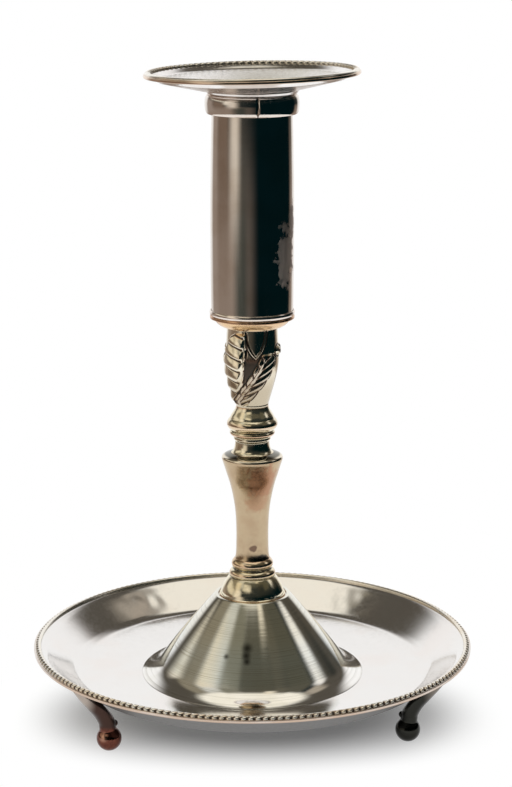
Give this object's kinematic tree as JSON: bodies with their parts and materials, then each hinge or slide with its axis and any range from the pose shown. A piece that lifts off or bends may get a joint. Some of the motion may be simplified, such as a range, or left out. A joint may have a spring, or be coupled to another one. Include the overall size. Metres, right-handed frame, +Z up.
{
  "type": "candlestick",
  "caption": "Table candlestick: round dished tray on ball feet, cone base, turned stem with a leaf knop, candle tube and a lift-off drip pan, twisted wire rims, worn silver plate on brass.",
  "frame": {"origin": "on the table under the centre of the stem, level with the worn soles of the ball feet", "axes": "+Z up along the stem, -Y towards the viewer of the picture, +X to the viewer's right"},
  "size_m": [0.144, 0.144, 0.2144],
  "materials": {
    "silver_plate": "old silver plate on sheet brass, turning lines and light tarnish",
    "dark_plate": "polished silver plate on rolled brass, with brown tarnish",
    "worn_brass": "turned brass with its silver plate worn through",
    "copper_brass": "cast coppery brass, tarnished brown",
    "iron": "plain dark iron"
  },
  "bodies": {
    "stand": {"tray_pan": "silver_plate", "tray_border": "worn_brass", "foot_front_left": "copper_brass", "foot_front_right": "copper_brass", "foot_back": "copper_brass", "base_cone": "silver_plate", "stem_bell": "worn_brass", "baluster": "worn_brass", "ring_knop": "worn_brass", "leaf_knop": "worn_brass", "tube_cup": "worn_brass", "tube_foot_ring": "dark_plate", "candle_tube": "dark_plate", "tie_rod": "iron", "tube_washer": "iron", "tube_nut": "iron", "base_washer": "iron", "base_nut": "iron"},
    "drip_pan": {"drip_pan_collar": "dark_plate", "drip_pan_dish": "silver_plate", "drip_pan_border": "worn_brass"}
  },
  "joints": [
    {"name": "drip_pan_lift", "type": "slide", "parent": "stand", "child": "drip_pan", "axis": [0, 0, 1], "range_m": [0, 0.03]}
  ]
}
